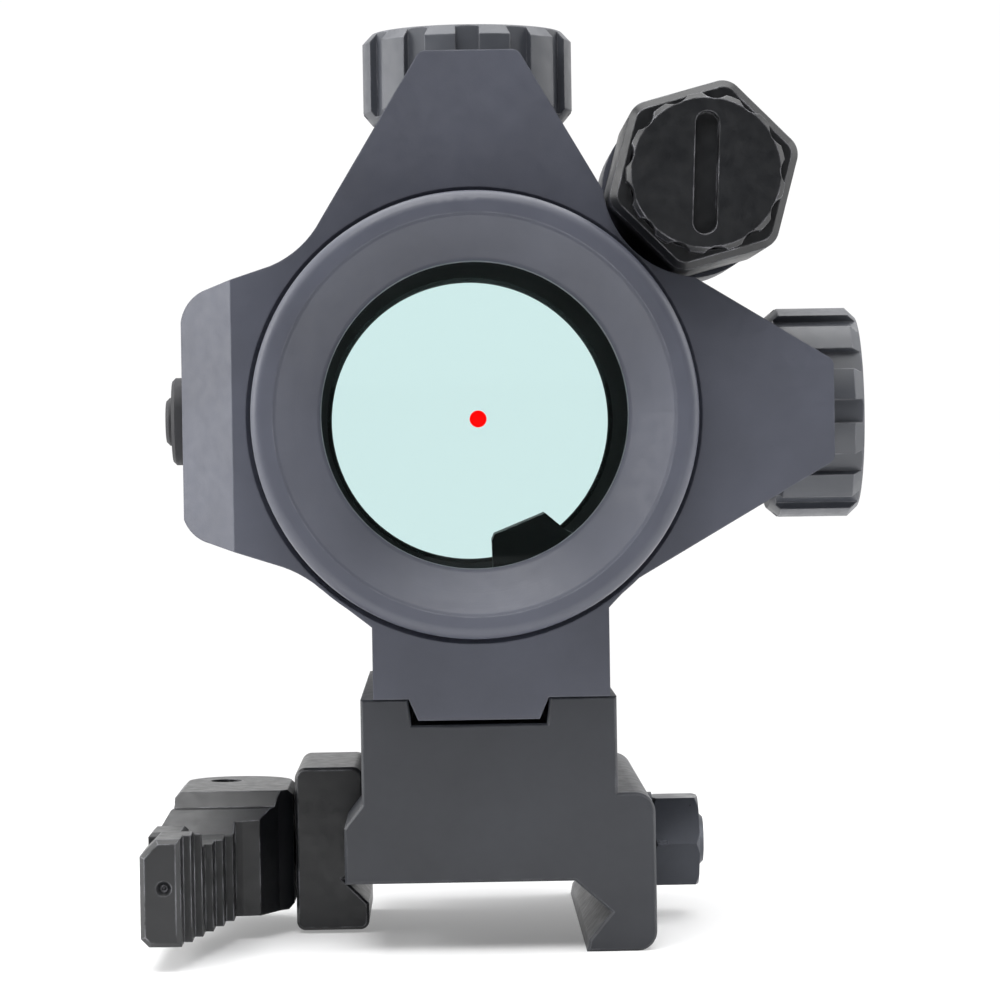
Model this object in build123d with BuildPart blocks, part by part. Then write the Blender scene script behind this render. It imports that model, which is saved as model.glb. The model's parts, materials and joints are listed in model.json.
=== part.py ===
from build123d import *
import math
import os

# Rail-mounted tube red dot sight with a quick-detach riser.
# Frame: +Y looks forward along the optical axis, +Z is up, and the origin is the centre of the
# face that rests on the rail. All lengths are millimetres.

# ---- driving dimensions ----
axis_height = 40.0          # optical axis above the rail seat

ring_rear = -30.0           # rear face of the eyepiece ring
plate_rear = -22.0          # rear face of the guard plate, neck and riser
plate_front = -14.0
saddle_front = 14.0
mount_front = 20.0          # front face of neck and riser
tube_front = 36.0           # housing tube ends, the bezel starts
bezel_front = 44.0

tube_radius = 19.0
bore_radius = 17.4
ring_radius = 18.77
recess_radius = 19.1        # groove round the eyepiece ring
recess_mouth = 19.55        # the groove's outer edge, after its bevel
plate_radius = 19.8
saddle_radius = 20.1
recess_floor = -19.5
thread_radius = bore_radius - 0.05

inner_tube_radius = 15.6
inner_bore_radius = 14.25
inner_tube_rear = -13.5
inner_tube_front = 37.0
gimbal_y = 27.5             # the aiming tube pivots here
gimbal_pin_radius = 0.8
running_gap = 0.06

wing_reach = 31.25          # top of the elevation wing, from the optical axis
side_wing_reach = 30.85

boss_radius = 11.2          # foot of each turret boss, which tapers to its top
boss_top_radius = 7.7
boss_top = 26.2
cap_neck_radius = 7.0
cap_skirt_radius = 7.1
cap_neck_top = 29.6
turret_bore_radius = 6.05
turret_floor = 22.0
cap_radius = 9.55
cap_bottom = 26.8
cap_top = 34.95
flute_count = 12
flute_width = 2.1
flute_depth = 0.75

battery_x = 19.7            # battery axis, right of the optical axis
battery_rise = 20.0         # and above it
battery_flats = 14.7        # hexagon across flats
battery_rear = -26.0
battery_seat = -6.0
battery_bore_radius = 5.98
battery_cap_radius = 6.7
battery_cap_rear = -28.5
battery_slot_tilt = -2.4
scallop_count = 13

pod_side = -25.3            # outer face of the control pod
cover_inner = -24.3
ledge_x = -23.9
pod_floor = -19.6
pod_centre_y = -2.0
pod_clearance = 0.2         # between the cover and its recess, all the way round
cover_length = 26.2
cover_height = 15.4
pocket_length = 21.2
pocket_height = 11.2
screw_spread_y = 23.8       # between the cover screws
screw_spread_z = 13.2
button_spread = 4.2         # each button's distance from the pod's centre, along Y
button_radius = 2.15
button_face = -27.45
pad_height = 1.5

riser_screw_places = ((0, 14), (0, -14))
bolt_y = 3.5
bolt_z = 0.75
bolt_radius = 2.45          # M5 cross bolt
pin_x = -23.2               # vertical lever pin
pin_radius = 1.45
jaw_face = -16.5            # outer face of the jaw, pressed by the cam
lever_floor = -3.9
lever_top = 6.85
arm_top = 3.6
thumb_top = 5.1
thumb_rear = -31.2
cam_closed = 6.5            # cam radius that meets the jaw when locked
cam_open = 4.9              # cam radius that meets it when released
rail_depth = 2.76           # rail edge below the seat

# ---- planes and small helpers ----
optical = Plane(origin=(0, 0, axis_height), x_dir=(1, 0, 0), z_dir=(0, 1, 0))
battery = Plane(
    origin=(battery_x, 0, axis_height + battery_rise), x_dir=(1, 0, 0), z_dir=(0, 1, 0)
)
elevation = Plane(origin=(0, 0, axis_height), x_dir=(1, 0, 0), z_dir=(0, 0, 1))
windage = Plane(origin=(0, 0, axis_height), x_dir=(0, 1, 0), z_dir=(1, 0, 0))
bolt_line = Plane(origin=(0, bolt_y, bolt_z), x_dir=(0, 1, 0), z_dir=(1, 0, 0))


def rear_view(y, height=axis_height):
    """Upright plane at y seen from behind: local x is X and local y is Z above height."""
    return Plane(origin=(0, y, height), x_dir=(1, 0, 0), z_dir=(0, -1, 0))


def spin_axis(base):
    return Axis(base.origin, base.z_dir)


def half_section(base, points):
    """Closed outline of (radius, height) points beside the normal of the base plane."""
    side = Plane(origin=base.origin, x_dir=base.x_dir, z_dir=-base.y_dir)
    with BuildSketch(side) as section:
        with BuildLine():
            Polyline(*points, close=True)
        make_face()
    return section.sketch


def ring_section(base, radius, height, thickness):
    """Round section of an O-ring whose centre line has this radius."""
    side = Plane(origin=base.origin, x_dir=base.x_dir, z_dir=-base.y_dir)
    with BuildSketch(side) as section:
        with Locations((radius, height)):
            Circle(thickness)
    return section.sketch


def rod(base, radius, low, high):
    """Half section of a plain round bar from low to high."""
    return half_section(base, [(0, low), (radius, low), (radius, high), (0, high)])


def coil(radius, wire, length, turns):
    """Round-wire compression spring standing on the XY plane."""
    rise = length - 2 * wire
    with BuildPart() as spring:
        with BuildLine() as path:
            Helix(pitch=rise / turns, height=rise, radius=radius, center=(0, 0, wire))
        with BuildSketch(Plane(origin=path.line @ 0, z_dir=path.line % 0)):
            Circle(wire)
        sweep()
    return spring.part


pieces = {}

# ---- main housing ----


def plate_outline():
    """Guard plate seen from behind: two wings, the control pod's end and the neck."""
    with BuildSketch(rear_view(plate_rear)) as outline:
        with BuildLine():
            Line((-4.2, wing_reach), (-12.9, 16.9))
            ThreePointArc((-12.9, 16.9), (-14.55, 14.75), (-17.2, 13.05))
            Line((-17.2, 13.05), (-22.9, 11.2))
            ThreePointArc((-22.9, 11.2), (-24.5, 10.2), (pod_side, 8.5))
            Line((pod_side, 8.5), (pod_side, -8.6))
            ThreePointArc((pod_side, -8.6), (-24.6, -9.7), (-22.9, -10.65))
            Line((-22.9, -10.65), (-16.6, -12.7))
            ThreePointArc((-16.6, -12.7), (-14.9, -13.5), (-13.4, -14.6))
            Line((-13.4, -14.6), (-9.05, -18.0))
            Line((-9.05, -18.0), (-9.05, -24.2))
            Line((-9.05, -24.2), (11.28, -24.2))
            Line((11.28, -24.2), (11.28, -16.6))
            Line((11.28, -16.6), (13.4, -14.4))
            Line((13.4, -14.4), (side_wing_reach, -4.3))
            Line((side_wing_reach, -4.3), (side_wing_reach, 4.3))
            Line((side_wing_reach, 4.3), (15.5, 13.7))
            Line((15.5, 13.7), (13.4, 15.5))
            Line((13.4, 15.5), (4.2, wing_reach))
            Line((4.2, wing_reach), (-4.2, wing_reach))
        make_face()
        Circle(plate_radius)
        with Locations((battery_x, battery_rise)):
            Circle(8.45, mode=Mode.SUBTRACT)
        wing_tips = outline.vertices().filter_by(lambda v: v.Y > wing_reach - 0.01
                                                 or v.X > side_wing_reach - 0.01)
        fillet(wing_tips, 0.9)
    return outline.sketch


with BuildPart() as main_housing:
    extrude(plate_outline(), amount=-(plate_front - plate_rear))
    # tube and saddle
    revolve(rod(optical, tube_radius, plate_front, tube_front), axis=spin_axis(optical))
    revolve(
        half_section(
            optical,
            [(0, plate_front), (saddle_radius, plate_front), (saddle_radius, saddle_front - 2),
             (tube_radius, saddle_front), (0, saddle_front)],
        ),
        axis=spin_axis(optical),
    )
    # raised bands on the front of the tube
    revolve(
        half_section(optical, [(0, 30), (19.4, 30), (19.6, 30.4), (19.6, 33.6), (19.4, 34), (0, 34)]),
        axis=spin_axis(optical),
    )
    # turret bosses with their threaded necks
    for turret in (elevation, windage):
        revolve(
            half_section(
                turret,
                [(0, 12), (boss_radius, 12), (boss_radius, 20.3), (boss_top_radius, boss_top),
                 (cap_neck_radius, boss_top), (cap_neck_radius, cap_neck_top), (0, cap_neck_top)],
            ),
            axis=spin_axis(turret),
        )
    # control pod
    with BuildSketch(rear_view(plate_front)):
        with BuildLine():
            Line((-12, 13.8), (-17.2, 13.05))
            Line((-17.2, 13.05), (-22.9, 11.2))
            ThreePointArc((-22.9, 11.2), (-24.5, 10.2), (pod_side, 8.5))
            Line((pod_side, 8.5), (pod_side, -8.6))
            ThreePointArc((pod_side, -8.6), (-24.6, -9.7), (-22.9, -10.65))
            Line((-22.9, -10.65), (-12, -13.8))
            Line((-12, -13.8), (-12, 13.8))
        make_face()
    extrude(amount=-(saddle_front - plate_front))
    # web and boss that carry the battery tube
    with BuildSketch(rear_view(battery_seat)):
        with Locations((battery_x - 4, battery_rise - 4)):
            Rectangle(15, 9, rotation=45)
        with Locations((battery_x, battery_rise)):
            Circle(7.8)
    extrude(amount=-13)
    # neck with its tongue
    with BuildSketch(rear_view(plate_front)):
        with BuildLine():
            Polyline((-9.05, -14), (-9.05, -24.2), (11.28, -24.2), (11.28, -14), close=True)
        make_face()
    extrude(amount=-(mount_front - plate_front))
    with BuildSketch(rear_view(plate_rear)):
        with BuildLine():
            Polyline((-6.0, -24.2), (-5.2, -26.05), (5.2, -26.05), (6.0, -24.2), close=True)
        make_face()
    extrude(amount=-(mount_front - plate_rear))
    # slanted rear end of the pod, and the same on its front end
    with BuildSketch(Plane.XY.offset(axis_height - 14)):
        with BuildLine():
            Polyline((-20.6, -22.1), (-27.0, -22.1), (-27.0, -15.3), close=True)
        make_face()
        with BuildLine():
            Polyline((-20.6, 14.1), (-27.0, 14.1), (-27.0, 9.6), close=True)
        make_face()
    extrude(amount=28, mode=Mode.SUBTRACT)
    # through bore, ring recess and both seal grooves
    revolve(
        half_section(
            optical,
            [(0, -23), (recess_mouth, -23), (recess_mouth, plate_rear), (recess_radius, -21.2),
             (recess_radius, recess_floor), (18.87, recess_floor),
             (18.87, -18.6), (17.93, -18.6), (17.93, recess_floor), (bore_radius, recess_floor),
             (bore_radius, 37), (0, 37)],
        ),
        axis=spin_axis(optical),
        mode=Mode.SUBTRACT,
    )
    revolve(
        half_section(optical, [(17.8, 35.3), (18.6, 35.3), (18.6, 37), (17.8, 37)]),
        axis=spin_axis(optical),
        mode=Mode.SUBTRACT,
    )
    # turret bores
    for turret in (elevation, windage):
        revolve(
            half_section(
                turret,
                [(0, 16), (1.6, 16), (1.6, turret_floor), (turret_bore_radius, turret_floor),
                 (turret_bore_radius, 31), (0, 31)],
            ),
            axis=spin_axis(turret),
            mode=Mode.SUBTRACT,
        )
    # sockets for the gimbal's two upright pins
    with Locations((0, gimbal_y, axis_height)):
        Cylinder(gimbal_pin_radius + running_gap, 36.9, mode=Mode.SUBTRACT)
    # threaded socket for the battery tube
    revolve(rod(battery, 6.55, battery_seat, -0.9), axis=spin_axis(battery), mode=Mode.SUBTRACT)
    # pod: recess for the cover, then the deeper electronics pocket
    with Locations((-25.4, pod_centre_y, axis_height)):
        Box(3.0, cover_length + pod_clearance, cover_height + pod_clearance, mode=Mode.SUBTRACT)
    with Locations(((ledge_x + pod_floor) / 2, pod_centre_y, axis_height)):
        Box(pod_floor - ledge_x, pocket_length, pocket_height, mode=Mode.SUBTRACT)
    with Locations(Plane(origin=(ledge_x, pod_centre_y, axis_height), x_dir=(0, 1, 0), z_dir=(-1, 0, 0))):
        with GridLocations(screw_spread_y, screw_spread_z, 2, 2):
            Hole(0.62, depth=2.2)
    # blind threads for the two riser screws
    with Locations(Plane(origin=(0, 0, axis_height - 26.05), z_dir=(0, 0, -1))):
        with Locations(*riser_screw_places):
            Hole(1.97, depth=4.5)
pieces["main_housing"] = main_housing

# ---- eyepiece ----
with BuildPart() as eyepiece_ring:
    revolve(
        half_section(
            optical,
            [(16.9, ring_rear), (ring_radius, ring_rear), (ring_radius, recess_floor),
             (thread_radius, recess_floor), (thread_radius, -15.0), (16.5, -15.0), (16.5, -20.2),
             (14.6, -20.2), (14.6, -24.6), (13.0, -24.6), (13.0, -26.5), (13.25, -26.8),
             (16.65, -29.7)],
        ),
        axis=spin_axis(optical),
    )
    rear_rim = eyepiece_ring.edges().filter_by(GeomType.CIRCLE).filter_by(
        lambda edge: abs(edge.radius - ring_radius) < 0.01).sort_by(Axis.Y)[0]
    fillet(rear_rim, 0.95)
pieces["eyepiece_ring"] = eyepiece_ring

with BuildPart() as eyepiece_oring:
    revolve(ring_section(optical, 18.4, -19.05, 0.42), axis=spin_axis(optical))
pieces["eyepiece_oring"] = eyepiece_oring

with BuildPart() as ocular_lens:
    revolve(rod(optical, 14.5, -24.6, -22.4), axis=spin_axis(optical))
    chamfer(ocular_lens.edges(), 0.25)
pieces["ocular_lens"] = ocular_lens

with BuildPart() as ocular_retainer:
    revolve(
        half_section(optical, [(13.5, -22.4), (14.55, -22.4), (14.55, -20.4), (13.8, -20.4)]),
        axis=spin_axis(optical),
    )
    with Locations(Plane(origin=(0, -20.4, axis_height), x_dir=(1, 0, 0), z_dir=(0, 1, 0))):
        with PolarLocations(14.2, 2):
            Box(1.6, 1.2, 1.6, mode=Mode.SUBTRACT)
pieces["ocular_retainer"] = ocular_retainer

# ---- front end ----
with BuildPart() as front_bezel:
    revolve(
        half_section(
            optical,
            [(thread_radius, 31), (thread_radius, tube_front), (tube_radius, tube_front),
             (tube_radius, 43.2), (18.3, bezel_front), (17.4, bezel_front), (15.9, 39.4), (15.9, 38.2),
             (16.6, 37.6), (16.6, 31)],
        ),
        axis=spin_axis(optical),
    )
    for groove_y in (38.0, 39.6, 41.2):
        revolve(
            half_section(
                optical,
                [(18.6, groove_y), (tube_radius + 1, groove_y - 0.4), (tube_radius + 1, groove_y + 0.9),
                 (18.6, groove_y + 0.5)],
            ),
            axis=spin_axis(optical),
            mode=Mode.SUBTRACT,
        )
pieces["front_bezel"] = front_bezel

with BuildPart() as front_oring:
    revolve(ring_section(optical, 18.2, 35.65, 0.34), axis=spin_axis(optical))
pieces["front_oring"] = front_oring

# ---- aiming tube, pivoted in a gimbal ring ----
with BuildPart() as inner_tube:
    revolve(
        half_section(
            optical,
            [(inner_bore_radius, inner_tube_rear), (inner_tube_radius, inner_tube_rear),
             (inner_tube_radius, inner_tube_front), (14.95, inner_tube_front), (14.95, 31.5),
             (inner_bore_radius, 31.5)],
        ),
        axis=spin_axis(optical),
    )
    with Locations((0, gimbal_y, axis_height)):
        Cylinder(gimbal_pin_radius, 33.6, rotation=(0, 90, 0))
        Cylinder(inner_tube_radius - 0.2, 8, rotation=(90, 0, 0), mode=Mode.SUBTRACT)
    revolve(
        half_section(
            optical,
            [(inner_bore_radius, gimbal_y - 4.5), (inner_tube_radius, gimbal_y - 4.5),
             (inner_tube_radius, 31.5), (inner_bore_radius, 31.5)],
        ),
        axis=spin_axis(optical),
    )
pieces["inner_tube"] = inner_tube

with BuildPart() as gimbal_ring:
    revolve(
        half_section(
            optical,
            [(16.0, gimbal_y - 1.5), (16.9, gimbal_y - 1.5), (16.9, gimbal_y + 1.5),
             (16.0, gimbal_y + 1.5)],
        ),
        axis=spin_axis(optical),
    )
    for upright in (1, -1):
        with BuildSketch(Plane.XY.offset(axis_height + upright * 16.4)):
            with Locations((0, gimbal_y)):
                Circle(gimbal_pin_radius)
        extrude(amount=upright * 1.9)
    with Locations((0, gimbal_y, axis_height)):
        Cylinder(gimbal_pin_radius + running_gap, 40, rotation=(0, 90, 0), mode=Mode.SUBTRACT)
pieces["gimbal_ring"] = gimbal_ring

lens_radius = 14.85
lens_crown = 0.9


def lens_face(edge_y):
    """Lens surface crowned forwards, as points from the optical axis to the rim."""
    sphere = (lens_radius**2 + lens_crown**2) / (2 * lens_crown)
    steps = [lens_radius * share / 12 for share in range(13)]
    return [(r, edge_y + lens_crown - sphere + math.sqrt(sphere**2 - r**2)) for r in steps]


with BuildPart() as objective_lens:
    revolve(half_section(optical, lens_face(31.5) + lens_face(34.8)[::-1]), axis=spin_axis(optical))
pieces["objective_lens"] = objective_lens

with BuildPart() as objective_retainer:
    revolve(
        half_section(optical, [(14.1, 34.95), (14.9, 34.95), (14.9, 36.6), (14.03, 36.6), (14.03, 35.9)]),
        axis=spin_axis(optical),
    )
pieces["objective_retainer"] = objective_retainer

# The emitter block stands on the tube's lower right wall and throws the dot forwards.
emitter_angle = 22.0
emitter_side = Plane(
    origin=(0, -8.0, axis_height),
    x_dir=(math.cos(math.radians(emitter_angle)), 0, math.sin(math.radians(emitter_angle))),
    z_dir=(0, -1, 0),
)
emitter_reach = 10.4        # block's inner face, from the optical axis
wall_contact = inner_bore_radius - 0.02


def wall_height(x):
    return -math.sqrt(wall_contact**2 - x**2)


with BuildPart() as emitter_housing:
    with BuildSketch(emitter_side):
        with BuildLine():
            Polyline((-3.9, wall_height(-3.9)), (-3.45, -12.8), (-2.7, -10.8), (-2.3, -emitter_reach),
                     (2.6, -emitter_reach), (3.75, -12.6), (4.6, wall_height(4.6)))
            ThreePointArc((4.6, wall_height(4.6)), (0, -wall_contact), (-3.9, wall_height(-3.9)))
        make_face()
    extrude(amount=-7.0)
    with BuildSketch(emitter_side.offset(-7.0)):
        with Locations((0, -11.7)):
            Circle(1.05)
    extrude(amount=2.2, mode=Mode.SUBTRACT)
pieces["emitter_housing"] = emitter_housing

with BuildPart() as emitter_led:
    with BuildSketch(emitter_side.offset(-4.8)):
        with Locations((0, -11.7)):
            Circle(1.0)
    extrude(amount=-1.8)
pieces["emitter_led"] = emitter_led

# Leaf spring at the lower left, opposite both turrets, arched from the bore to the aiming tube.
leaf_outward = Vector(-math.sqrt(0.5), 0, -math.sqrt(0.5))
leaf_plane = Plane(
    origin=(0, 0, axis_height), x_dir=(0, 1, 0), z_dir=Vector(0, 1, 0).cross(leaf_outward)
)
with BuildPart() as bias_spring:
    with BuildSketch(leaf_plane):
        with BuildLine():
            ThreePointArc((-9.0, 17.1), (0, 15.95), (9.0, 17.1))
            Line((9.0, 17.1), (9.05, 16.8))
            ThreePointArc((9.05, 16.8), (0, 15.65), (-9.05, 16.8))
            Line((-9.05, 16.8), (-9.0, 17.1))
        make_face()
    extrude(amount=2.2, both=True)
pieces["bias_spring"] = bias_spring

# ---- turrets: the same parts upright (elevation) and to the right (windage) ----


def turret_bushing(base):
    with BuildPart() as bushing:
        revolve(
            half_section(base, [(3.1, turret_floor), (5.98, turret_floor), (5.98, cap_neck_top),
                                (3.1, cap_neck_top)]),
            axis=spin_axis(base),
        )
    return bushing


def turret_dial(base):
    """Slotted, click-stopped screw that the user turns under the cap."""
    with BuildPart() as dial:
        revolve(
            half_section(
                base,
                [(1.3, 24.6), (3.03, 24.6), (3.03, 29.9), (6.2, 29.9), (6.2, 32.2), (5.8, 32.6),
                 (0, 32.6), (0, 28.2), (1.3, 28.2)],
            ),
            axis=spin_axis(base),
        )
        with Locations(base.offset(32.6)):
            Box(8.6, 1.3, 2.4, mode=Mode.SUBTRACT)
            with PolarLocations(6.45, 24):
                Cylinder(0.45, 8, mode=Mode.SUBTRACT)
    return dial


def turret_plunger(base):
    """Non-turning screw that the dial drives against the aiming tube."""
    with BuildPart() as plunger:
        revolve(
            half_section(
                base,
                [(0, 15.7), (1.2, 15.7), (1.5, 16.0), (1.5, 22.6), (2.6, 22.6), (2.6, 23.9),
                 (1.22, 23.9), (1.22, 27.4), (0, 27.4)],
            ),
            axis=spin_axis(base),
        )
    return plunger


def turret_cap(base):
    """Fluted cap with a threaded skirt that screws over the boss's neck."""
    with BuildPart() as cap:
        revolve(
            half_section(
                base,
                [(cap_skirt_radius, cap_bottom), (8.7, cap_bottom), (cap_radius, 27.8),
                 (cap_radius, cap_top - 0.9), (8.7, cap_top), (7.2, cap_top), (6.9, cap_top - 0.3),
                 (0, cap_top - 0.3), (0, 33.7), (6.6, 33.7), (cap_skirt_radius, 33.2)],
            ),
            axis=spin_axis(base),
        )
        with BuildSketch(base.offset(27.3)):
            with PolarLocations(cap_radius, flute_count):
                Rectangle(2 * flute_depth, flute_width)
        extrude(amount=8.5, mode=Mode.SUBTRACT)
    return cap


def turret_oring(base):
    with BuildPart() as oring:
        revolve(ring_section(base, 7.4, 26.5, 0.28), axis=spin_axis(base))
    return oring


for turret_name, turret in (("elevation", elevation), ("windage", windage)):
    pieces[turret_name + "_bushing"] = turret_bushing(turret)
    pieces[turret_name + "_dial"] = turret_dial(turret)
    pieces[turret_name + "_plunger"] = turret_plunger(turret)
    pieces[turret_name + "_cap"] = turret_cap(turret)
    pieces[turret_name + "_cap_oring"] = turret_oring(turret)

# ---- battery tube, its cap and what is inside ----
battery_view_height = axis_height + battery_rise
with BuildPart() as battery_housing:
    with BuildSketch(rear_view(battery_seat, battery_view_height)) as hexagon:
        with Locations((battery_x, 0)):
            RegularPolygon(battery_flats / 2, 6, major_radius=False, rotation=15)
        fillet(hexagon.vertices(), 1.8)
    extrude(amount=battery_seat - battery_rear)
    chamfer(battery_housing.faces().sort_by(Axis.Y)[0].edges(), 0.6)
    revolve(rod(battery, 6.5, battery_seat, -1.0), axis=spin_axis(battery))
    revolve(
        half_section(
            battery,
            [(0, -27), (6.35, -27), (6.35, -25.1), (battery_bore_radius, -25.1),
             (battery_bore_radius, -7.0), (1.5, -7.0), (1.5, 0), (0, 0)],
        ),
        axis=spin_axis(battery),
        mode=Mode.SUBTRACT,
    )
pieces["battery_housing"] = battery_housing

with BuildPart() as battery_cap:
    revolve(
        half_section(
            battery,
            [(0, battery_cap_rear), (6.3, battery_cap_rear), (battery_cap_radius, -28.1),
             (battery_cap_radius, -26.15), (5.4, -26.15), (5.4, -25.2), (5.9, -25.2), (5.9, -22.7),
             (0, -22.7)],
        ),
        axis=spin_axis(battery),
    )
    with BuildSketch(rear_view(-26.0, battery_view_height)):
        with Locations((battery_x, 0)):
            with PolarLocations(battery_cap_radius + 1.1, scallop_count):
                Circle(1.55)
    extrude(amount=4, mode=Mode.SUBTRACT)
    with BuildSketch(rear_view(battery_cap_rear + 1.2, battery_view_height)):
        with Locations((battery_x, 0)):
            SlotOverall(10.3, 2.0, rotation=90 + battery_slot_tilt)
    extrude(amount=2, mode=Mode.SUBTRACT)
pieces["battery_cap"] = battery_cap

with BuildPart() as battery_cap_oring:
    revolve(ring_section(battery, 5.8, -25.72, 0.36), axis=spin_axis(battery))
pieces["battery_cap_oring"] = battery_cap_oring

with BuildPart() as battery_cell:
    revolve(
        half_section(
            battery,
            [(0, -22.7), (4.2, -22.7), (4.2, -22.4), (5.5, -22.4), (5.8, -22.1), (5.8, -12.2),
             (5.5, -11.9), (0, -11.9)],
        ),
        axis=spin_axis(battery),
    )
pieces["battery_cell"] = battery_cell

battery_spring_length = 4.3
with BuildPart() as battery_spring:
    with Locations(battery.offset(-11.9)):
        add(coil(3.6, 0.25, battery_spring_length, 3.5))
pieces["battery_spring"] = battery_spring

with BuildPart() as battery_contact:
    revolve(rod(battery, 4.9, -11.9 + battery_spring_length, -7.0), axis=spin_axis(battery))
    revolve(rod(battery, 1.2, -7.2, -2.0), axis=spin_axis(battery))
pieces["battery_contact"] = battery_contact

# ---- control pod: cover, gasket, rubber pad, two buttons, switches on their board ----
board_face = -20.4


def pod_plane(x):
    """Plane facing out of the pod's side: local x is Y and local y is Z."""
    return Plane(origin=(x, pod_centre_y, axis_height), x_dir=(0, -1, 0), z_dir=(-1, 0, 0))


button_places = ((-button_spread, 0), (button_spread, 0))

with BuildPart() as control_cover:
    with BuildSketch(pod_plane(cover_inner)) as cover_shape:
        Rectangle(cover_length, cover_height)
        fillet(cover_shape.vertices(), 0.4)
        with Locations(*button_places):
            Circle(button_radius + 0.1, mode=Mode.SUBTRACT)
    extrude(amount=cover_inner - pod_side)
    with Locations(pod_plane(pod_side)):
        with GridLocations(screw_spread_y, screw_spread_z, 2, 2):
            CounterBoreHole(0.66, 1.0, 0.55)
pieces["control_cover"] = control_cover

with BuildPart() as cover_gasket:
    with BuildSketch(pod_plane(ledge_x)):
        Rectangle(cover_length, cover_height)
        Rectangle(pocket_length, pocket_height, mode=Mode.SUBTRACT)
        with GridLocations(screw_spread_y, screw_spread_z, 2, 2):
            Circle(0.66, mode=Mode.SUBTRACT)
    extrude(amount=ledge_x - cover_inner)
pieces["cover_gasket"] = cover_gasket

with BuildPart() as button_pad:
    with BuildSketch(pod_plane(pod_side)) as pad_shape:
        Rectangle(16.4, 7.8)
        fillet(pad_shape.vertices(), 3.0)
    extrude(amount=pad_height)
    chamfer(button_pad.faces().sort_by(Axis.X)[0].edges(), 0.3)
    with BuildSketch(pod_plane(pod_side)):
        with Locations(*button_places):
            Circle(button_radius + 0.12)
    extrude(amount=pad_height, mode=Mode.SUBTRACT)
pieces["button_pad"] = button_pad


def push_button(place, mark):
    """Rubber-capped button with an inner flange and a stem over its switch."""
    button_axis = Plane(
        origin=(0, pod_centre_y - place[0], axis_height), x_dir=(0, 1, 0), z_dir=(1, 0, 0)
    )
    with BuildPart() as button:
        revolve(
            half_section(
                button_axis,
                [(0, button_face), (1.85, button_face), (button_radius, button_face + 0.3),
                 (button_radius, -24.2), (2.75, -24.2), (2.75, -23.4), (1.0, -23.4), (1.0, -21.65),
                 (0, -21.65)],
            ),
            axis=spin_axis(button_axis),
        )
        with Locations((button_face, pod_centre_y - place[0], axis_height)):
            for bar in mark:
                Box(0.3, bar[0], bar[1], mode=Mode.SUBTRACT)
    return button


pieces["plus_button"] = push_button(button_places[0], ((2.0, 0.4), (0.4, 2.0)))
pieces["minus_button"] = push_button(button_places[1], ((2.0, 0.4),))

with BuildPart() as circuit_board:
    with BuildSketch(pod_plane(pod_floor)):
        Rectangle(pocket_length - 0.4, pocket_height - 0.4)
    extrude(amount=pod_floor - board_face)
pieces["circuit_board"] = circuit_board

with BuildPart() as dome_switches:
    with BuildSketch(pod_plane(board_face)):
        with Locations(*button_places):
            Circle(2.2)
    extrude(amount=0.3)
    with BuildSketch(pod_plane(board_face - 0.3)):
        with Locations(*button_places):
            Circle(1.5)
    extrude(amount=0.5)
    chamfer(dome_switches.faces().group_by(Axis.X)[0].edges(), 0.3)
pieces["dome_switches"] = dome_switches

with BuildPart() as driver_chip:
    with BuildSketch(pod_plane(board_face)):
        Rectangle(3.0, 3.0)
    extrude(amount=0.8)
pieces["driver_chip"] = driver_chip

with BuildPart() as cover_screws:
    with BuildSketch(pod_plane(cover_inner - 0.45)):
        with GridLocations(screw_spread_y, screw_spread_z, 2, 2):
            Circle(0.97)
    extrude(amount=0.5)
    with BuildSketch(pod_plane(-22.0)):
        with GridLocations(screw_spread_y, screw_spread_z, 2, 2):
            Circle(0.6)
    extrude(amount=2.75)
    with BuildSketch(pod_plane(pod_side + 0.35)):
        with GridLocations(screw_spread_y, screw_spread_z, 2, 2):
            RegularPolygon(0.5, 6)
    extrude(amount=1, mode=Mode.SUBTRACT)
pieces["cover_screws"] = cover_screws

# ---- riser and rail clamp ----
riser_top = 15.8
slot_floor = 13.55
jaw_rear = -7.0
jaw_front = 10.0
jaw_inner = -10.35
notch_x = -10.2
spring_offset = 5.4         # each jaw spring's distance from the bolt, along Y
spring_z = 5.2

with BuildPart() as riser_base:
    with BuildSketch(rear_view(plate_rear, 0)) as riser_shape:
        with BuildLine():
            Polyline(
                (-10.15, riser_top), (-6.05, riser_top), (-5.8, slot_floor), (5.8, slot_floor),
                (6.05, riser_top), (11.8, riser_top), (11.8, 7.5), (15.0, 7.5), (15.0, -6.1),
                (8.95, -6.1), (9.16, -5.1), (11.1, -rail_depth), (8.0, 0), (-11.7, 0), (-11.7, 4.8),
                (-10.15, 6.8),
                close=True,
            )
        make_face()
        outer_corners = riser_shape.vertices().filter_by(lambda v: v.X > 14.9)
        fillet(outer_corners, 1.7)
    extrude(amount=-(mount_front - plate_rear))
    chamfer(riser_base.faces().sort_by(Axis.Y)[0].outer_wire().edges(), 0.2)
    chamfer(riser_base.faces().sort_by(Axis.Y)[-1].outer_wire().edges(), 0.2)
    with Locations(((notch_x - 15) / 2, (jaw_rear + jaw_front) / 2, 2.9)):
        Box(15 + notch_x, jaw_front - jaw_rear + 0.6, 8.0, mode=Mode.SUBTRACT)
    revolve(rod(bolt_line, bolt_radius + running_gap, -13, 16), axis=spin_axis(bolt_line),
            mode=Mode.SUBTRACT)
    with Locations(Plane(origin=(notch_x, bolt_y, spring_z), x_dir=(0, 1, 0), z_dir=(-1, 0, 0))):
        with Locations((spring_offset, 0), (-spring_offset, 0)):
            Hole(1.35, depth=1.6)
    with Locations(Plane(origin=(0, 0, 0), x_dir=(1, 0, 0), z_dir=(0, 0, -1))):
        with Locations(*riser_screw_places):
            CounterBoreHole(2.1, 3.6, 4.2, depth=20)
pieces["riser_base"] = riser_base

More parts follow.
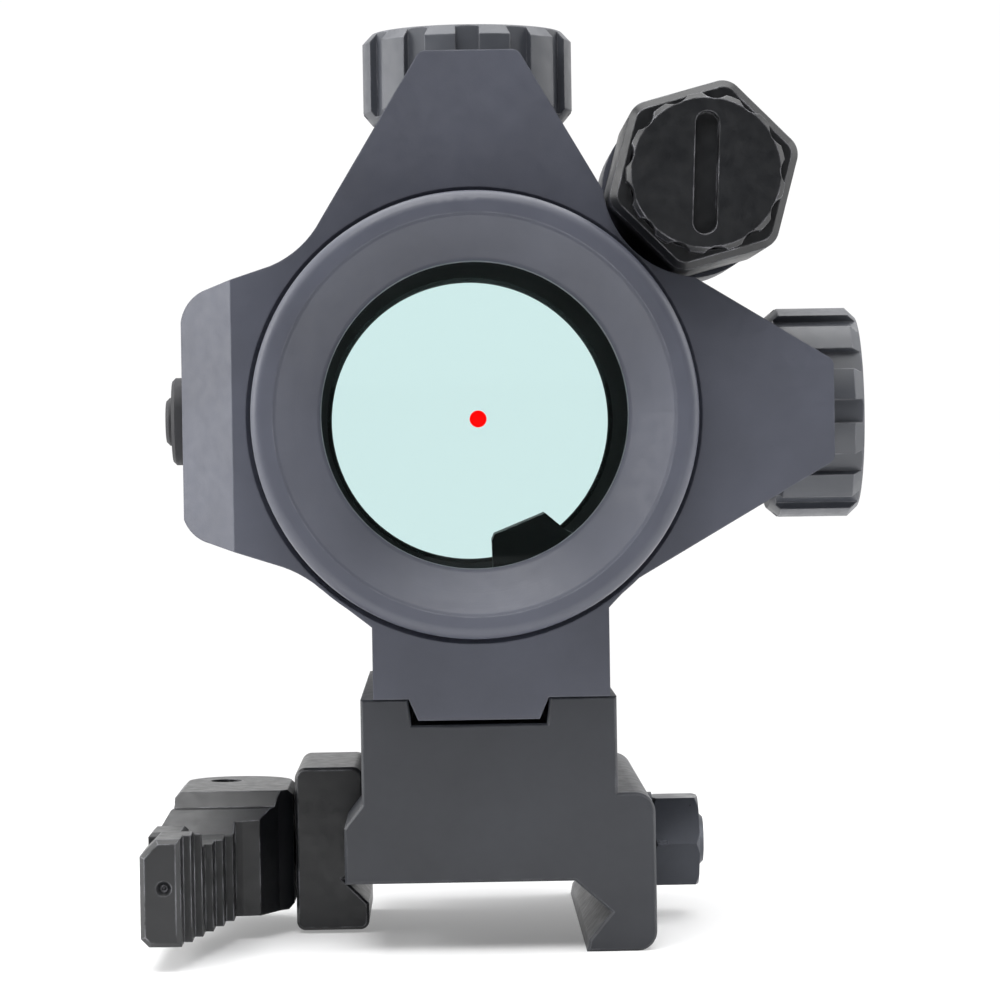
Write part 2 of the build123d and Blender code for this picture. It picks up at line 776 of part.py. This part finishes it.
with BuildPart() as riser_screws:
    with BuildSketch(Plane.XY.offset(0.4)):
        with Locations(*riser_screw_places):
            Circle(3.5)
    extrude(amount=3.8)
    with BuildSketch(Plane.XY.offset(4.2)):
        with Locations(*riser_screw_places):
            Circle(1.95)
    extrude(amount=13.8)
    with BuildSketch(Plane.XY.offset(0.3)):
        with Locations(*riser_screw_places):
            RegularPolygon(1.5, 6, major_radius=False)
    extrude(amount=2.2, mode=Mode.SUBTRACT)
pieces["riser_screws"] = riser_screws

with BuildPart() as clamp_jaw:
    with BuildSketch(rear_view(jaw_rear, 0)):
        with BuildLine():
            Polyline(
                (jaw_face, 8.8), (jaw_inner, 8.8), (jaw_inner, 0.1), (-12.2, -1.25),
                (-10.0, -3.45), (-10.0, -5.8), (jaw_face, -5.8),
                close=True,
            )
        make_face()
    extrude(amount=-(jaw_front - jaw_rear))
    jaw_corners = clamp_jaw.edges().filter_by(Axis.Y)
    fillet(jaw_corners.sort_by(Axis.Z)[-2:], 1.0)
    fillet(jaw_corners.sort_by(Axis.Z)[:2], 0.8)
    chamfer(clamp_jaw.faces().sort_by(Axis.Y)[0].outer_wire().edges(), 0.25)
    chamfer(clamp_jaw.faces().sort_by(Axis.Y)[-1].outer_wire().edges(), 0.25)
    revolve(rod(bolt_line, bolt_radius + 0.09, -18, -9), axis=spin_axis(bolt_line),
            mode=Mode.SUBTRACT)
    with Locations(Plane(origin=(jaw_inner, bolt_y, spring_z), x_dir=(0, 1, 0), z_dir=(1, 0, 0))):
        with Locations((spring_offset, 0), (-spring_offset, 0)):
            Hole(1.35, depth=3.15)
pieces["clamp_jaw"] = clamp_jaw

with BuildPart() as jaw_springs:
    for side in (-1, 1):
        spring_base = Plane(
            origin=(-13.5, bolt_y + side * spring_offset, spring_z), x_dir=(0, 1, 0), z_dir=(1, 0, 0)
        )
        with Locations(spring_base):
            add(coil(0.95, 0.18, 4.9, 5))
pieces["jaw_springs"] = jaw_springs

with BuildPart() as cross_bolt:
    revolve(
        half_section(
            bolt_line,
            [(0, -16.4), (bolt_radius, -16.4), (bolt_radius, 20.3), (bolt_radius - 0.4, 20.7),
             (0, 20.7)],
        ),
        axis=spin_axis(bolt_line),
    )
    with BuildSketch(Plane.XY.offset(bolt_z - 1.5)):
        with Locations(((pin_x - 16.4) / 2, bolt_y)):
            Rectangle(-16.4 - pin_x, 3.8)
        with Locations((pin_x, bolt_y)):
            Circle(3.6)
            Circle(pin_radius + 0.05, mode=Mode.SUBTRACT)
    extrude(amount=3.0)
pieces["cross_bolt"] = cross_bolt

with BuildPart() as bolt_washer:
    with BuildSketch(bolt_line.offset(15.0)):
        Circle(4.4)
        Circle(bolt_radius + 0.1, mode=Mode.SUBTRACT)
    extrude(amount=1.0)
pieces["bolt_washer"] = bolt_washer

with BuildPart() as bolt_nut:
    with BuildSketch(bolt_line.offset(16.0)):
        RegularPolygon(4.0, 6, major_radius=False)
    extrude(amount=4.2)
    # turned bevel on both ends of the hexagon
    revolve(
        half_section(bolt_line, [(0, 16.0), (4.15, 16.0), (4.7, 16.4), (4.7, 19.8), (4.15, 20.2),
                                 (0, 20.2)]),
        axis=spin_axis(bolt_line),
        mode=Mode.INTERSECT,
    )
    revolve(rod(bolt_line, bolt_radius + 0.02, 15, 21), axis=spin_axis(bolt_line),
            mode=Mode.SUBTRACT)
pieces["bolt_nut"] = bolt_nut

# ---- quick-detach lever with its cam, pin and lock button ----
stair_count = 6
stair_start = (-25.1, thumb_rear)
stair_end = (-21.0, -11.0)
tab_x = (-28.5, -25.45)
tab_y = (-21.5, -15.5)
tab_z = (1.7, 4.7)
tab_pocket_floor = 0.5
spring_hole_floor = -2.4


def cam_point(radius, degrees):
    """Point of the hub's outline at this distance and direction from the lever pin."""
    turn = math.radians(degrees)
    return (pin_x + radius * math.cos(turn), bolt_y + radius * math.sin(turn))


def stair_points():
    """Serrated inner face of the arm, from the thumb end towards the hub."""
    step_x = (stair_end[0] - stair_start[0]) / stair_count
    step_y = (stair_end[1] - stair_start[1]) / stair_count
    points = [stair_start]
    for step in range(1, stair_count + 1):
        ledge_y = stair_start[1] + step * step_y
        points.append((stair_start[0] + (step - 1) * step_x, ledge_y))
        points.append((stair_start[0] + step * step_x, ledge_y))
    return points


with BuildPart() as qd_lever:
    with BuildSketch(Plane.XY.offset(lever_floor)):
        with BuildLine():
            Polyline(*stair_points())
            Polyline(stair_end, (-19.5, -10.8), (-18.0, -7.6), (pin_x + cam_closed, -6.0),
                     cam_point(cam_closed, 0))
            ThreePointArc(cam_point(cam_closed, 0), cam_point((cam_closed + cam_open) / 2, 50),
                          cam_point(cam_open, 100))
            ThreePointArc(cam_point(cam_open, 100), cam_point(4.35, 140), cam_point(4.0, 180))
            Polyline(cam_point(4.0, 180), (pin_x - 4.0, -8.0), (-28.5, -13.0), (-28.5, thumb_rear),
                     stair_start)
        make_face()
    extrude(amount=lever_top - lever_floor)
    # the arm is lower than the hub, and rises again at the thumb end
    with BuildSketch(Plane(origin=(-30, 0, 0), x_dir=(0, 1, 0), z_dir=(1, 0, 0))):
        with BuildLine():
            Polyline((-33, thumb_top), (-24.6, thumb_top), (-23.6, arm_top), (-13.0, arm_top),
                     (-9.0, 5.4), (-8.2, 5.5), (-7.2, 6.95), (-7.2, 9), (-33, 9), close=True)
        make_face()
    extrude(amount=20, mode=Mode.SUBTRACT)
    outer_side = qd_lever.edges().filter_by(Axis.Y).group_by(Axis.X)[0]
    chamfer(outer_side.sort_by(Axis.Z)[-1], 1.4)
    chamfer(outer_side.sort_by(Axis.Z)[0], 0.7)
    thumb_end = qd_lever.faces().sort_by(Axis.Y)[0]
    chamfer(thumb_end.outer_wire().edges(), 0.4)
    hub_rims = qd_lever.edges().filter_by(GeomType.CIRCLE)
    chamfer(hub_rims.group_by(Axis.Z)[0] + hub_rims.group_by(Axis.Z)[-1], 0.5)
    # clevis slot for the bolt's eye, then the pin hole
    with Locations((pin_x, bolt_y + 3.0, bolt_z)):
        Box(20, 14, 3.5, mode=Mode.SUBTRACT)
    with Locations((pin_x, bolt_y, 0)):
        Cylinder(pin_radius + 0.01, 30, mode=Mode.SUBTRACT)
    # open-sided pocket for the lock button, with its spring hole
    with Locations(((tab_x[0] - 1 + tab_x[1] + 0.12) / 2, (tab_y[0] + tab_y[1]) / 2,
                    tab_pocket_floor + 3)):
        Box(tab_x[1] + 0.12 - tab_x[0] + 1, tab_y[1] - tab_y[0] + 0.24, 6, mode=Mode.SUBTRACT)
    with Locations(Plane.XY.offset(tab_pocket_floor)):
        with Locations((-26.9, -18.5)):
            Hole(1.15, depth=tab_pocket_floor - spring_hole_floor)
    # shallow dimple in the thumb's end
    with Locations(Plane(origin=(-26.5, thumb_rear, 1.0), x_dir=(1, 0, 0), z_dir=(0, -1, 0))):
        CounterSinkHole(0.3, 0.65, depth=0.5)
pieces["qd_lever"] = qd_lever

with BuildPart() as lever_pin:
    with BuildSketch(Plane.XY.offset(lever_floor + 0.4)):
        with Locations((pin_x, bolt_y)):
            Circle(pin_radius)
    extrude(amount=9.3)
pieces["lever_pin"] = lever_pin

with BuildPart() as lock_tab:
    with Locations(((tab_x[0] + tab_x[1]) / 2, (tab_y[0] + tab_y[1]) / 2, (tab_z[0] + tab_z[1]) / 2)):
        Box(tab_x[1] - tab_x[0], tab_y[1] - tab_y[0], tab_z[1] - tab_z[0])
    chamfer(lock_tab.faces().sort_by(Axis.Z)[-1].edges(), 0.35)
pieces["lock_tab"] = lock_tab

with BuildPart() as tab_spring:
    with Locations((-26.9, -18.5, spring_hole_floor)):
        add(coil(0.85, 0.16, tab_z[0] - spring_hole_floor, 5))
pieces["tab_spring"] = tab_spring

# ---- write one file per piece ----
os.makedirs("parts", exist_ok=True)
for name, piece in pieces.items():
    piece.part.label = name
    export_step(piece.part, f"parts/{name}.step")
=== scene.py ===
import json
import math

import bmesh
import bpy
from mathutils import Matrix, Vector


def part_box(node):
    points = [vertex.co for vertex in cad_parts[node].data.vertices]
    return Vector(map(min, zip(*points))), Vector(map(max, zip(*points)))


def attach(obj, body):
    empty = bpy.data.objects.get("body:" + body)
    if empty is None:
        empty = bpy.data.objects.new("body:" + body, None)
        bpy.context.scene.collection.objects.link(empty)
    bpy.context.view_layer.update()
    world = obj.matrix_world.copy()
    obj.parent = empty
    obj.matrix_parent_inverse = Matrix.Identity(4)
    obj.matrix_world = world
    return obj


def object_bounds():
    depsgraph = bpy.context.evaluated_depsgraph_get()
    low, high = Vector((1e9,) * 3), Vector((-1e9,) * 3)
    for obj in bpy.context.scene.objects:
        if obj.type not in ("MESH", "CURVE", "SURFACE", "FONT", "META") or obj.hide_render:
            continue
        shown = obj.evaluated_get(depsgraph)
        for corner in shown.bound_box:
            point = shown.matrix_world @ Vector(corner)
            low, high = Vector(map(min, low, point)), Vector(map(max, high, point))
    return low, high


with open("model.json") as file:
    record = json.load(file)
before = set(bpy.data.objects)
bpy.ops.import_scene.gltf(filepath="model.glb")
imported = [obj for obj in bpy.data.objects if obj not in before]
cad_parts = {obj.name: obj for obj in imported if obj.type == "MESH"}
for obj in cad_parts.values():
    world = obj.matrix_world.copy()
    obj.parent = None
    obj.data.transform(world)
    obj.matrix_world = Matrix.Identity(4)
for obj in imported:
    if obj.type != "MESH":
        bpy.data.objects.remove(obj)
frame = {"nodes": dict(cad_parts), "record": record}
cad_low, cad_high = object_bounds()
NODES = frame["nodes"]

MM = 0.001
AXIS_HEIGHT = 40 * MM       # optical axis above the rail seat
FLOOR_Z = cad_low.z
WHITE = (1.0, 1.0, 1.0, 1.0)

# ---------------------------------------------------------------- material building blocks


# Sockets of a Mix node in its colour form, which share their names with its other forms
MIX_FIRST, MIX_SECOND, MIX_RESULT = 6, 7, 2


class Finish:
    """One procedural material, with short calls for the textures that the finishes share.
    Texture coordinates are the object's own, in metres, so scales are in features per metre."""

    def __init__(self, name):
        self.material = bpy.data.materials.new(name)
        self.material.use_nodes = True
        self.tree = self.material.node_tree
        self.shader = self.tree.nodes["Principled BSDF"]
        self.place = self.node("ShaderNodeTexCoord").outputs["Object"]

    def node(self, kind, **settings):
        made = self.tree.nodes.new(kind)
        for key, value in settings.items():
            setattr(made, key, value)
        return made

    def link(self, output, socket):
        self.tree.links.new(output, socket)

    def set(self, **values):
        for key, value in values.items():
            self.shader.inputs[key.replace("_", " ")].default_value = value

    def feed(self, socket, output):
        self.link(output, self.shader.inputs[socket])

    def stretched(self, stretch):
        mapping = self.node("ShaderNodeMapping")
        mapping.inputs["Scale"].default_value = stretch
        self.link(self.place, mapping.inputs["Vector"])
        return mapping.outputs["Vector"]

    def noise(self, scale, detail=4.0, roughness=0.55, where=None):
        texture = self.node("ShaderNodeTexNoise")
        texture.inputs["Scale"].default_value = scale
        texture.inputs["Detail"].default_value = detail
        texture.inputs["Roughness"].default_value = roughness
        self.link(where or self.place, texture.inputs["Vector"])
        return texture.outputs["Fac"]

    def cells(self, scale, where=None):
        texture = self.node("ShaderNodeTexVoronoi")
        texture.inputs["Scale"].default_value = scale
        self.link(where or self.place, texture.inputs["Vector"])
        return texture.outputs["Distance"]

    def spread(self, value, low_in, high_in, low_out, high_out):
        ranged = self.node("ShaderNodeMapRange")
        ranged.inputs["From Min"].default_value = low_in
        ranged.inputs["From Max"].default_value = high_in
        ranged.inputs["To Min"].default_value = low_out
        ranged.inputs["To Max"].default_value = high_out
        self.link(value, ranged.inputs["Value"])
        return ranged.outputs["Result"]

    def math(self, operation, a, b):
        made = self.node("ShaderNodeMath", operation=operation)
        for socket, value in zip(made.inputs, (a, b)):
            if isinstance(value, (int, float)):
                socket.default_value = value
            else:
                self.link(value, socket)
        return made.outputs["Value"]

    def blend(self, factor, first, second):
        """Colour between first and second, each a colour or an output."""
        mixed = self.node("ShaderNodeMix", data_type="RGBA")
        self.link(factor, mixed.inputs["Factor"])
        for number, value in ((MIX_FIRST, first), (MIX_SECOND, second)):
            socket = mixed.inputs[number]
            if isinstance(value, tuple):
                socket.default_value = (*value, 1.0)
            else:
                self.link(value, socket)
        return mixed.outputs[MIX_RESULT]

    def lathe_lines(self, scale):
        """Fine rings round the optical axis, as a turning tool leaves them."""
        split = self.node("ShaderNodeSeparateXYZ")
        self.link(self.place, split.inputs[0])
        height = self.math("SUBTRACT", split.outputs["Z"], AXIS_HEIGHT)
        across = self.math("POWER", split.outputs["X"], 2.0)
        upright = self.math("POWER", height, 2.0)
        radius = self.math("SQRT", self.math("ADD", across, upright), 0.0)
        rings = self.node("ShaderNodeCombineXYZ")
        self.link(radius, rings.inputs["X"])
        self.link(split.outputs["Y"], rings.inputs["Y"])
        return self.noise(scale, detail=2.0, where=rings.outputs[0])

    def rounded(self, radius):
        """Normal of the surface with its edges rounded by this radius."""
        bevel = self.node("ShaderNodeBevel", samples=4)
        bevel.inputs["Radius"].default_value = radius
        return bevel.outputs["Normal"]

    def edges(self, rounding, start, end):
        """0 on flat faces, 1 along the edges that the rounding bends."""
        normal = self.node("ShaderNodeNewGeometry").outputs["Normal"]
        dot = self.node("ShaderNodeVectorMath", operation="DOT_PRODUCT")
        self.link(rounding, dot.inputs[0])
        self.link(normal, dot.inputs[1])
        return self.spread(dot.outputs["Value"], start, end, 0.0, 1.0)

    def relief(self, height, strength, depth, rounding=None):
        """Bump from height, on top of the rounding if there is one."""
        bump = self.node("ShaderNodeBump")
        bump.inputs["Strength"].default_value = strength
        bump.inputs["Distance"].default_value = depth
        self.link(height, bump.inputs["Height"])
        if rounding:
            self.link(rounding, bump.inputs["Normal"])
        self.feed("Normal", bump.outputs["Normal"])


def scaled(colour, factor):
    return tuple(min(1.0, part * factor) for part in colour)


# ---------------------------------------------------------------- finishes


def anodised(name, colour, worn, roughness, wear, turned=False):
    """Bead-blasted, dyed aluminium: fine matte grain, mottled dye, edges rubbed paler."""
    f = Finish(name)
    mottling = f.spread(f.noise(70.0, detail=5.0), 0.35, 0.65, 0.0, 1.0)
    dye = f.blend(mottling, scaled(colour, 0.86), scaled(colour, 1.14))
    patchy = f.spread(f.noise(420.0, detail=6.0), 0.42, 0.68, 0.0, wear)
    rounding = f.rounded(0.18 * MM)
    rubbed = f.math("MULTIPLY", f.edges(rounding, 0.99, 0.92), patchy)
    f.feed("Base Color", f.blend(rubbed, dye, worn))
    grain = f.noise(5200.0, detail=3.0, roughness=0.7)
    if turned:
        grain = f.math("ADD", f.math("MULTIPLY", grain, 0.5), f.lathe_lines(5200.0))
    f.feed("Roughness", f.spread(f.noise(900.0), 0.3, 0.7, roughness - 0.05, roughness + 0.07))
    f.relief(grain, 0.22, 0.03 * MM, rounding)
    f.set(IOR=1.5)
    return f.material


def steel(name, colour, roughness):
    """Turned or drawn metal with fine directional scratches and smudges."""
    f = Finish(name)
    scratches = f.noise(9000.0, detail=3.0, where=f.stretched((1.0, 0.05, 0.05)))
    smudges = f.noise(300.0, detail=5.0)
    f.feed("Base Color", f.blend(smudges, scaled(colour, 0.75), scaled(colour, 1.25)))
    f.feed("Roughness", f.spread(smudges, 0.3, 0.7, roughness - 0.08, roughness + 0.1))
    f.relief(scratches, 0.18, 0.02 * MM, f.rounded(0.1 * MM))
    f.set(Metallic=1.0)
    return f.material


def rubber(name, colour):
    """Moulded rubber: pebbled skin with a dusty bloom in its low spots."""
    f = Finish(name)
    pebbles = f.cells(3200.0)
    dust = f.spread(f.noise(500.0, detail=6.0), 0.45, 0.75, 0.0, 0.35)
    f.feed("Base Color", f.blend(dust, colour, scaled(colour, 2.4)))
    f.feed("Roughness", f.spread(dust, 0.0, 0.35, 0.62, 0.82))
    f.relief(pebbles, 0.25, 0.03 * MM, f.rounded(0.12 * MM))
    f.set(IOR=1.5)
    return f.material


def plastic(name, colour, roughness):
    """Injection-moulded plastic with a fine spark-eroded texture."""
    f = Finish(name)
    tone = f.noise(150.0, detail=4.0)
    f.feed("Base Color", f.blend(tone, scaled(colour, 0.85), scaled(colour, 1.2)))
    f.feed("Roughness", f.spread(f.noise(1200.0), 0.3, 0.7, roughness - 0.06, roughness + 0.08))
    f.relief(f.noise(6000.0, detail=2.0), 0.2, 0.02 * MM, f.rounded(0.1 * MM))
    return f.material


def baffle_paint(name, colour):
    """Flat black paint with a sandy grain that kills reflections inside the tube."""
    f = Finish(name)
    speckle = f.noise(2600.0, detail=5.0)
    f.feed("Base Color", f.blend(speckle, scaled(colour, 0.6), scaled(colour, 1.6)))
    f.feed("Roughness", f.spread(speckle, 0.3, 0.7, 0.85, 1.0))
    f.relief(f.lathe_lines(3800.0), 0.8, 0.08 * MM)
    f.set(IOR=1.1)
    return f.material


def board(name, colour):
    """Solder-masked board: slightly raised copper tracks under the green."""
    f = Finish(name)
    tracks = f.spread(f.cells(700.0, where=f.stretched((1.0, 0.3, 1.0))), 0.25, 0.3, 0.0, 1.0)
    f.feed("Base Color", f.blend(tracks, scaled(colour, 1.5), colour))
    f.feed("Roughness", f.spread(f.noise(800.0), 0.3, 0.7, 0.28, 0.42))
    f.relief(tracks, 0.2, 0.03 * MM)
    return f.material


def coated_glass(name, face_tint, rim_tint):
    """Clear optical glass whose coating shifts its tint towards grazing angles."""
    f = Finish(name)
    facing = f.node("ShaderNodeLayerWeight")
    facing.inputs["Blend"].default_value = 0.35
    f.feed("Base Color", f.blend(facing.outputs["Facing"], face_tint, rim_tint))
    f.feed("Roughness", f.spread(f.noise(250.0, detail=6.0), 0.4, 0.9, 0.0, 0.035))
    f.set(IOR=1.36, Transmission_Weight=1.0)
    return f.material


def glowing(name, colour, strength):
    """Glowing red for the lit emitter, and for the disc that stands in for its reflected dot, a
    painted reflection; slightly hotter in the middle.
    """
    f = Finish(name)
    heat = f.spread(f.noise(800.0, detail=2.0), 0.3, 0.7, 0.0, 1.0)
    f.feed("Base Color", f.blend(heat, scaled(colour, 0.2), scaled(colour, 0.3)))
    f.feed("Emission Color", f.blend(heat, scaled(colour, 0.92), colour))
    f.set(Emission_Strength=strength, Roughness=0.4)
    return f.material


BLUE_BLACK = (0.058, 0.062, 0.082)
WORN_BODY = (0.32, 0.33, 0.37)
# The mount's colour is the body's blue-black darkened to about 0.38: painted shade for the mount
# under the eyepiece ring.
MOUNT_SHADED_BLUE_BLACK = (0.022, 0.024, 0.03)
BLACK = (0.006, 0.0066, 0.008)
FINISHES = {
    "anodised_body": anodised("body_finish", BLUE_BLACK, WORN_BODY, 0.46, wear=0.25),
    # The mount finish starts from the darkened blue-black above, which is painted shade.
    "mount_anodised": anodised("mount_painted_shade_finish", MOUNT_SHADED_BLUE_BLACK, (0.3, 0.31, 0.34), 0.44, wear=0.25),
    "black_anodised": anodised("black_finish", BLACK, (0.6, 0.6, 0.66), 0.36, wear=0.55),
    "cap_anodised": anodised("cap_finish", (0.055, 0.059, 0.07), (0.4, 0.4, 0.44), 0.4, wear=0.4),
    "baffle_black": baffle_paint("baffle_paint", (0.006, 0.008, 0.008)),
    "black_plastic": plastic("emitter_plastic", (0.01, 0.014, 0.014), 0.5),
    "red_led": glowing("led_glow_and_painted_dot_reflection", (1.0, 0.0, 0.0), 1.5),
    "coated_glass": coated_glass("lens_glass", (0.815, 0.935, 0.93), (0.76, 0.9, 0.88)),
    "rubber_black": rubber("rubber_black", (0.017, 0.017, 0.02)),
    "brass": steel("turned_brass", (0.62, 0.42, 0.16), 0.3),
    "turned_steel": steel("turned_steel", (0.42, 0.42, 0.44), 0.3),
    "cell_steel": steel("nickel_plate", (0.62, 0.62, 0.64), 0.22),
    "spring_steel": steel("spring_steel", (0.45, 0.45, 0.47), 0.3),
    "board_green": board("board_green", (0.02, 0.14, 0.05)),
    "dark_steel": steel("blackened_steel", (0.07, 0.074, 0.085), 0.34),
}
TURNED_BODY = anodised("turned_body_finish", BLUE_BLACK, WORN_BODY, 0.42, wear=0.25, turned=True)
TURNED_NODES = ("eyepiece_ring", "front_bezel")


def dress(cad_object, material):
    cad_object.data.materials.clear()
    cad_object.data.materials.append(material)


for subpart in frame["record"]["subparts"]:
    dress(NODES[subpart["node"]], FINISHES[subpart["material_slot"]])
for turned_node in TURNED_NODES:
    dress(NODES[turned_node], TURNED_BODY)

# ---------------------------------------------------------------- aiming dot, a glowing disc as painted reflection


def closed_disc(name, centre, radius, thickness):
    """Thin closed disc square to the optical axis, domed a little towards the eye."""
    sides = 48
    mesh = bpy.data.meshes.new(name)
    form = bmesh.new()
    dome = ((0.6, 0.12), (0.9, 0.45), (1.0, 1.0))       # shares of the radius and thickness
    loops = []
    for reach, back in dome:
        y = centre.y + thickness * back
        loops.append([
            form.verts.new((centre.x + radius * reach * math.cos(math.tau * k / sides), y,
                            centre.z + radius * reach * math.sin(math.tau * k / sides)))
            for k in range(sides)
        ])
    apex = form.verts.new((centre.x, centre.y, centre.z))
    for k in range(sides):
        after = (k + 1) % sides
        form.faces.new((apex, loops[0][k], loops[0][after]))
        for inner, outer in zip(loops, loops[1:]):
            form.faces.new((inner[k], outer[k], outer[after], inner[after]))
    form.faces.new(list(reversed(loops[-1])))
    bmesh.ops.recalc_face_normals(form, faces=form.faces)
    form.to_mesh(mesh)
    form.free()
    made = bpy.data.objects.new(name, mesh)
    bpy.context.scene.collection.objects.link(made)
    for polygon in mesh.polygons:
        polygon.use_smooth = len(polygon.vertices) < sides
    return made


DOT_RADIUS = 0.85 * MM
DOT_THICKNESS = 0.1 * MM
DOT_REACH = 0.12 * MM       # its near face stands this far behind the front lens
DOT_RIGHT, DOT_UP = 0.80 * MM, 0.14 * MM
lens_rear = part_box("objective_lens")[0].y
dot_centre = Vector((DOT_RIGHT, lens_rear - DOT_REACH, AXIS_HEIGHT + DOT_UP))
# Glowing red disc behind the front lens: a painted reflection of the emitter's dot.
painted_reflection_dot = closed_disc("painted_reflection_dot", dot_centre, DOT_RADIUS, DOT_THICKNESS)
painted_reflection_dot.data.materials.append(FINISHES["red_led"])
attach(painted_reflection_dot, "aiming_tube")

# ---------------------------------------------------------------- stage, light and camera


def studio_sweep():
    """Pale floor that curves up into a back wall, lit from under and behind the object, with
    painted shade darkening it towards the camera.
    """
    half_width = 2.5
    depth = 1.2
    bend = 0.5
    height = 2.0
    profile = [(-depth, FLOOR_Z), (depth, FLOOR_Z)]
    bend_steps = 12
    for step in range(1, bend_steps + 1):
        angle = math.pi / 2 * step / bend_steps
        profile.append((depth + bend * math.sin(angle), FLOOR_Z + bend * (1 - math.cos(angle))))
    profile.append((depth + bend, FLOOR_Z + height))
    form = bmesh.new()
    rows = [
        [form.verts.new((side * half_width, y, z)) for side in (-1, 1)] for y, z in profile
    ]
    for near, far in zip(rows, rows[1:]):
        form.faces.new((near[0], near[1], far[1], far[0]))
    mesh = bpy.data.meshes.new("studio_sweep")
    form.to_mesh(mesh)
    form.free()
    for polygon in mesh.polygons:
        polygon.use_smooth = True
    sweep = bpy.data.objects.new("studio_sweep", mesh)
    bpy.context.scene.collection.objects.link(sweep)
    paper = Finish("studio_paper")
    split = paper.node("ShaderNodeSeparateXYZ")
    paper.link(paper.place, split.inputs[0])
    # Painted shade: towards the camera the paper is darkened to 0.1, so it throws less light back
    # onto the eyepiece side.
    near = paper.spread(split.outputs["Y"], -0.3, -0.06, 0.1, 1.0)
    lit = paper.spread(split.outputs["Y"], -0.05, 0.15, 0.0, 1.0)
    fibres = paper.blend(paper.noise(9.0), (0.91, 0.91, 0.91), (0.93, 0.93, 0.93))
    paper_painted_dark_in_front = paper.blend(near, (0.1, 0.1, 0.1), fibres)
    paper.feed("Base Color", paper.blend(lit, paper_painted_dark_in_front, (0.03, 0.03, 0.03)))
    paper.feed("Emission Strength", paper.spread(lit, 0.0, 1.0, 0.05, 1.0))
    paper.set(Roughness=1.0, Specular_IOR_Level=0.0, Emission_Color=WHITE)
    mesh.materials.append(paper.material)


def area_light(name, place, target, size, power):
    """Rectangular lamp at place, aimed at target, with its power in watts."""
    data = bpy.data.lights.new(name, "AREA")
    data.shape = "RECTANGLE"
    data.size, data.size_y = size
    data.energy = power
    lamp = bpy.data.objects.new(name, data)
    lamp.location = place
    lamp.rotation_mode = "QUATERNION"
    lamp.rotation_quaternion = (Vector(target) - Vector(place)).to_track_quat("-Z", "Y")
    bpy.context.scene.collection.objects.link(lamp)


def studio_world():
    """Bright ahead and overhead, dark on the eyepiece side."""
    world = bpy.data.worlds.new("studio_world")
    world.use_nodes = True
    tree = world.node_tree
    background = tree.nodes["Background"]
    direction = tree.nodes.new("ShaderNodeTexCoord").outputs["Generated"]
    split = tree.nodes.new("ShaderNodeSeparateXYZ")
    tree.links.new(direction, split.inputs[0])
    total = tree.nodes.new("ShaderNodeMath")
    total.operation = "ADD"
    for socket, axis, start, end in ((0, "Y", -0.15, 0.35), (1, "Z", 0.3, 1.0)):
        level = tree.nodes.new("ShaderNodeMapRange")
        level.inputs["From Min"].default_value = start
        level.inputs["From Max"].default_value = end
        level.inputs["To Min"].default_value = 0.02
        level.inputs["To Max"].default_value = 0.9
        tree.links.new(split.outputs[axis], level.inputs["Value"])
        tree.links.new(level.outputs["Result"], total.inputs[socket])
    tree.links.new(total.outputs["Value"], background.inputs["Strength"])
    background.inputs["Color"].default_value = WHITE
    bpy.context.scene.world = world


def photo_camera():
    """Long lens behind the eyepiece, a little left of and below the optical axis."""
    lens_length = 132.6
    ring_distance = 307 * MM
    roll = 0.0157           # radians
    ring_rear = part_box("eyepiece_ring")[0].y
    data = bpy.data.cameras.new("photo_camera")
    data.lens = lens_length
    data.sensor_width = 36.0
    data.clip_start = 0.02
    data.clip_end = 20.0
    camera = bpy.data.objects.new("photo_camera", data)
    bpy.context.scene.collection.objects.link(camera)
    forward = Vector((0.0147, 1.0, -0.0138)).normalized()
    right = forward.cross(Vector((roll, 0.0, 1.0))).normalized()
    up = right.cross(forward)
    place = Vector((-2.55 * MM, ring_rear - ring_distance, AXIS_HEIGHT - 2.91 * MM))
    turn = Matrix((right, up, -forward)).transposed().to_4x4()
    camera.matrix_world = Matrix.Translation(place) @ turn
    bpy.context.scene.camera = camera


studio_sweep()
studio_world()
area_light("top_light", (0.0, 0.1, 0.75), (0, 0, 0.04), (0.9, 0.9), 7.0)
area_light("brow_light", (-0.06, -0.22, 0.3), (0, 0, 0.05), (0.22, 0.16), 0.75)
area_light("left_light", (-0.75, -0.05, 0.25), (0, 0, 0.04), (0.6, 0.7), 6.0)
area_light("right_light", (0.75, 0.0, 0.3), (0, 0, 0.04), (0.6, 0.7), 3.0)
photo_camera()
bpy.context.scene.view_settings.view_transform = "Standard"
